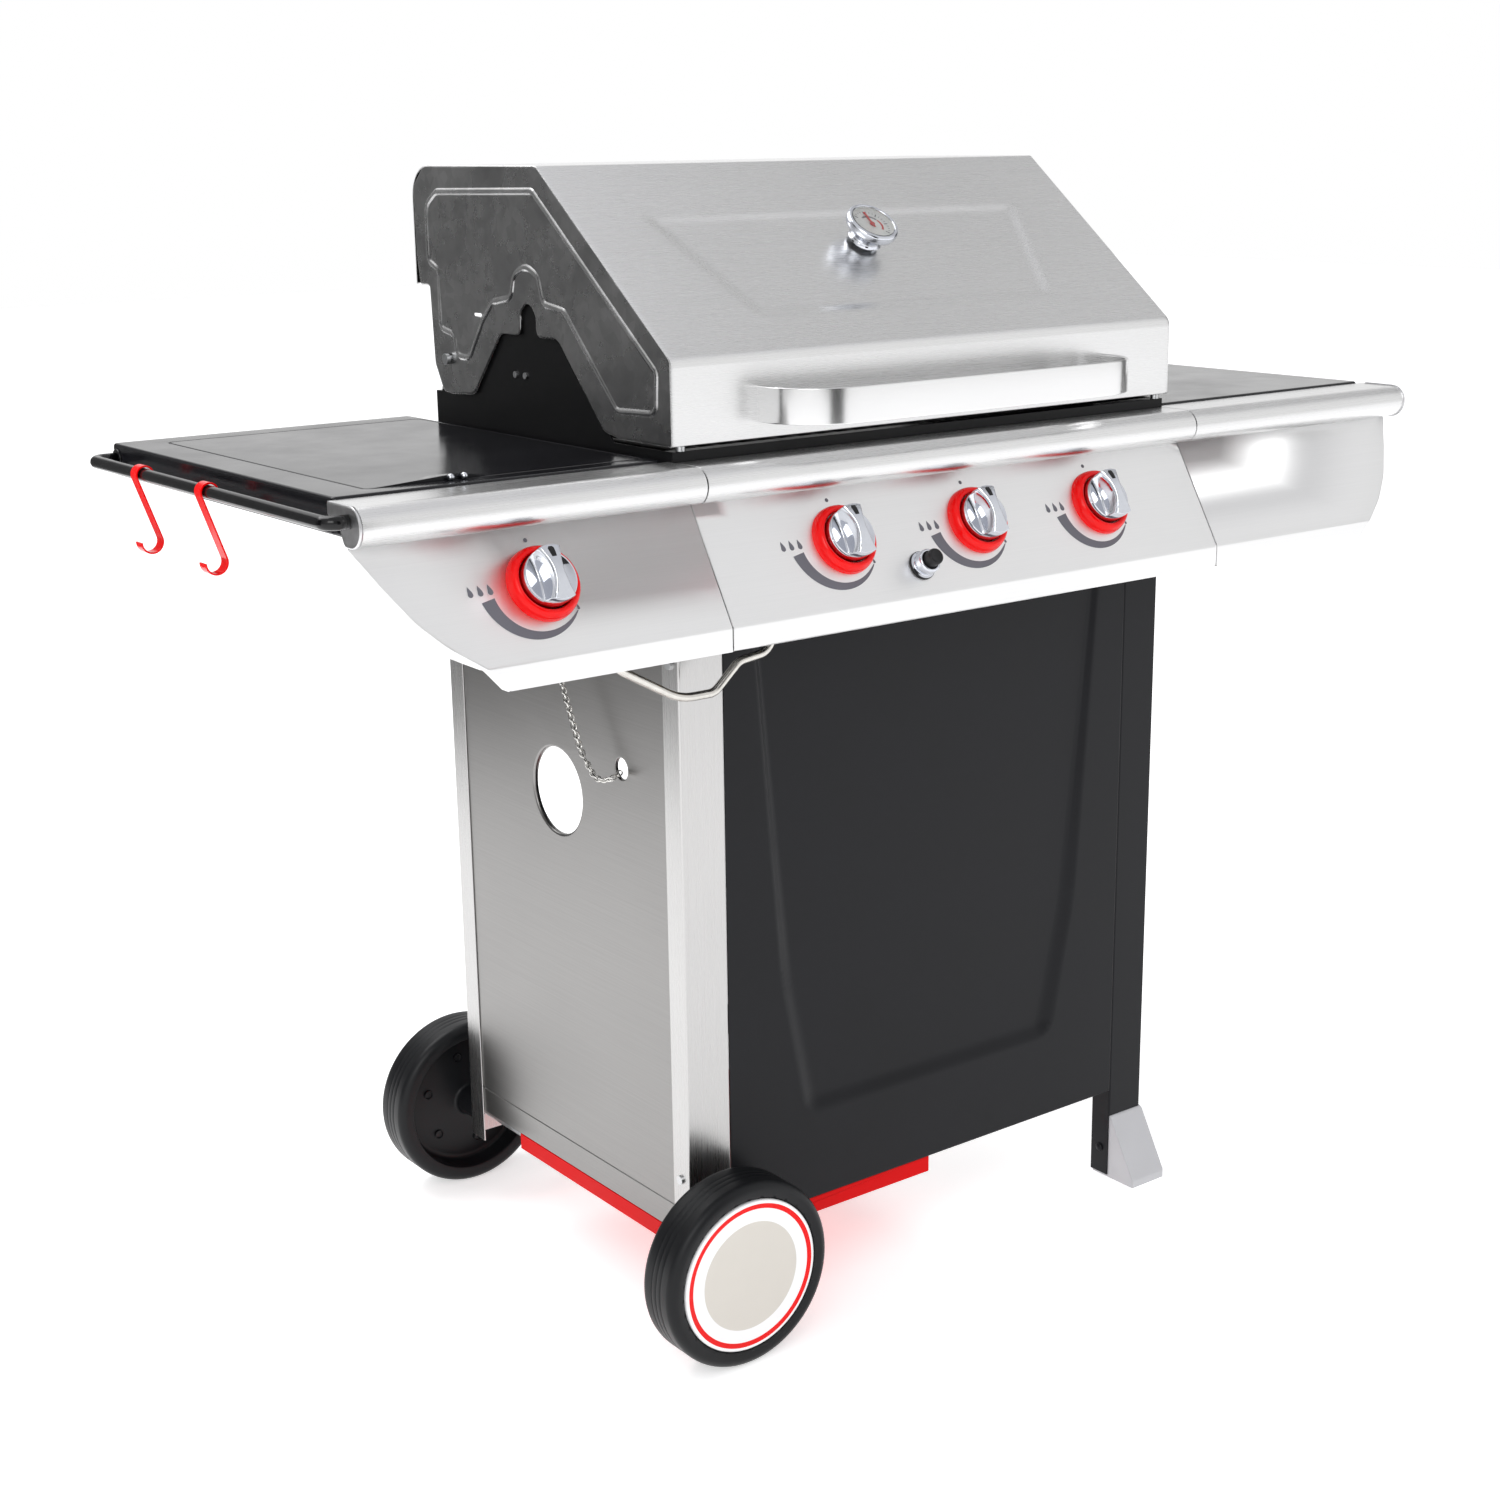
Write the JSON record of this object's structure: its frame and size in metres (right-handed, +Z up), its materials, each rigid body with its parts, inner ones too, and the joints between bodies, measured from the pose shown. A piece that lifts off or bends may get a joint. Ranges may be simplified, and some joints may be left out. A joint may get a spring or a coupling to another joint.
{
  "type": "gas barbecue grill",
  "caption": "Free-standing gas barbecue grill on a wheeled cabinet: hinged hood with thermometer, knob panel, side shelves, side burner, towel rail and hooks.",
  "frame": {"origin": "on the floor under the middle of the whole grill, towel rail and wheels included", "axes": "+X to the user's right along the front rail, +Y to the rear, +Z up"},
  "size_m": [1.327, 0.5886, 1.121],
  "materials": {
    "stainless": "brushed, horizontal grain",
    "stainless_dark": "brushed",
    "stainless_post": "brushed, vertical grain",
    "zinc_plate": "bright zinc, slightly mottled",
    "zinc": "zinc plated",
    "pipe_steel": "bright drawn pipe",
    "burner_steel": "satin",
    "burner_metal": "cast, matt",
    "cap_metal": "satin",
    "chrome": "polished",
    "brass": "machined",
    "black_steel": "satin black powder coat",
    "black_enamel": "matt black enamel",
    "black_gloss": "gloss black",
    "red_paint": "gloss red",
    "red_gloss": "gloss red",
    "black_plastic": "gloss black",
    "grey_plastic": "fine-textured grey",
    "black_rubber": "moulded black",
    "wheel_disc": "printed beige-grey, white and red rings",
    "cast_iron": "matt black",
    "glass": "clear"
  },
  "bodies": {
    "cart": {"side_panel_left": "stainless_dark", "side_panel_right": "stainless_dark", "front_post_left": "stainless_post", "front_leg_right": "black_steel", "rear_frame": "black_steel", "front_panel": "black_steel", "bottle_tray": "red_paint", "feet": "grey_plastic", "axle": "zinc", "fasteners": "zinc", "match_chain": "zinc", "control_panel_center": "stainless", "control_panel_left": "stainless", "control_panel_right": "stainless", "front_rails": "stainless", "rail_end_caps": "cap_metal", "knob_bezels": "red_gloss", "valve_bodies": "brass", "igniter_housing": "chrome", "manifold": "zinc", "side_burner_pipe": "pipe_steel", "firebox_front": "black_enamel", "firebox_rear": "black_enamel", "firebox_sides": "black_enamel", "firebox_floor": "black_enamel", "main_burners": "burner_steel", "flame_tamers": "black_enamel", "cooking_grate": "cast_iron", "warming_rack": "chrome", "shelf_left": "black_steel", "shelf_right": "black_steel", "side_burner": "burner_metal", "pan_support": "cast_iron", "towel_rail": "black_gloss", "hinge_pins": "zinc"},
    "hood": {"hood_shell": "stainless", "hood_sides": "zinc_plate", "hood_handle": "stainless", "hood_studs": "chrome", "thermometer_case": "chrome", "thermometer_glass": "glass"},
    "thermometer_needle": {"thermometer_needle": "red_paint"},
    "wheel_front": {"wheel_front": "black_rubber", "wheel_front_cap": "wheel_disc"},
    "wheel_rear": {"wheel_rear": "black_rubber", "wheel_rear_cap": "wheel_disc"},
    "igniter_button": {"igniter_button": "black_plastic"},
    "side_burner_lid": {"side_burner_lid": "black_steel"},
    "grease_tray": {"grease_tray": "zinc", "grease_cup": "zinc"},
    "hook_1": {"hook_1": "red_paint"},
    "hook_2": {"hook_2": "red_paint"},
    "valve_plug_0": {"valve_plug_0": "brass"},
    "knob_0": {"knob_0": "chrome"},
    "valve_plug_1": {"valve_plug_1": "brass"},
    "knob_1": {"knob_1": "chrome"},
    "valve_plug_2": {"valve_plug_2": "brass"},
    "knob_2": {"knob_2": "chrome"},
    "valve_plug_3": {"valve_plug_3": "brass"},
    "knob_3": {"knob_3": "chrome"}
  },
  "joints": [
    {"name": "hood_hinge", "type": "hinge", "parent": "cart", "child": "hood", "pos_m": [0.01349, 0.18581, 0.932], "axis": [-1, 0, 0], "range_deg": [0, 80]},
    {"name": "thermometer_needle_turn", "type": "hinge", "parent": "hood", "child": "thermometer_needle", "pos_m": [0.01349, -0.10073, 1.05984], "axis": [0, 0.6164, -0.7874], "range_deg": [0, 270], "stiffness_Nm_per_rad": 0.01},
    {"name": "wheel_front_spin", "type": "hinge", "parent": "cart", "child": "wheel_front", "pos_m": [-0.28131, -0.24069, 0.0943], "axis": [0, 1, 0], "continuous": true},
    {"name": "wheel_rear_spin", "type": "hinge", "parent": "cart", "child": "wheel_rear", "pos_m": [-0.28131, 0.26031, 0.0943], "axis": [0, 1, 0], "continuous": true},
    {"name": "valve_turn_0", "type": "hinge", "parent": "cart", "child": "valve_plug_0", "pos_m": [-0.47052, -0.25039, 0.78566], "axis": [0, -0.8607, 0.509], "range_deg": [0, 240]},
    {"name": "knob_push_0", "type": "slide", "parent": "valve_plug_0", "child": "knob_0", "axis": [0, 0.8607, -0.509], "range_m": [0, 0.0035], "stiffness_N_per_m": 700, "springref_m": -0.003},
    {"name": "valve_turn_1", "type": "hinge", "parent": "cart", "child": "valve_plug_1", "pos_m": [-0.14652, -0.25039, 0.78566], "axis": [0, -0.8607, 0.509], "range_deg": [0, 240]},
    {"name": "knob_push_1", "type": "slide", "parent": "valve_plug_1", "child": "knob_1", "axis": [0, 0.8607, -0.509], "range_m": [0, 0.0035], "stiffness_N_per_m": 700, "springref_m": -0.003},
    {"name": "valve_turn_2", "type": "hinge", "parent": "cart", "child": "valve_plug_2", "pos_m": [0.01849, -0.25039, 0.78566], "axis": [0, -0.8607, 0.509], "range_deg": [0, 240]},
    {"name": "knob_push_2", "type": "slide", "parent": "valve_plug_2", "child": "knob_2", "axis": [0, 0.8607, -0.509], "range_m": [0, 0.0035], "stiffness_N_per_m": 700, "springref_m": -0.003},
    {"name": "valve_turn_3", "type": "hinge", "parent": "cart", "child": "valve_plug_3", "pos_m": [0.18349, -0.25039, 0.78566], "axis": [0, -0.8607, 0.509], "range_deg": [0, 240]},
    {"name": "knob_push_3", "type": "slide", "parent": "valve_plug_3", "child": "knob_3", "axis": [0, 0.8607, -0.509], "range_m": [0, 0.0035], "stiffness_N_per_m": 700, "springref_m": -0.003},
    {"name": "igniter_push", "type": "slide", "parent": "cart", "child": "igniter_button", "axis": [0, 0.8607, -0.509], "range_m": [0, 0.006], "stiffness_N_per_m": 500, "springref_m": -0.004},
    {"name": "side_burner_lid_hinge", "type": "hinge", "parent": "cart", "child": "side_burner_lid", "pos_m": [-0.44951, 0.23431, 0.866], "axis": [-1, 0, 0], "range_deg": [0, 95]},
    {"name": "grease_tray_slide", "type": "slide", "parent": "cart", "child": "grease_tray", "axis": [0, 1, 0], "range_m": [0, 0.36]},
    {"name": "hook_1_swing", "type": "hinge", "parent": "cart", "child": "hook_1", "pos_m": [-0.65351, -0.00149, 0.854], "axis": [0, 1, 0], "range_deg": [-20, 60]},
    {"name": "hook_2_swing", "type": "hinge", "parent": "cart", "child": "hook_2", "pos_m": [-0.65351, 0.13943, 0.854], "axis": [0, 1, 0], "range_deg": [-20, 60]}
  ]
}
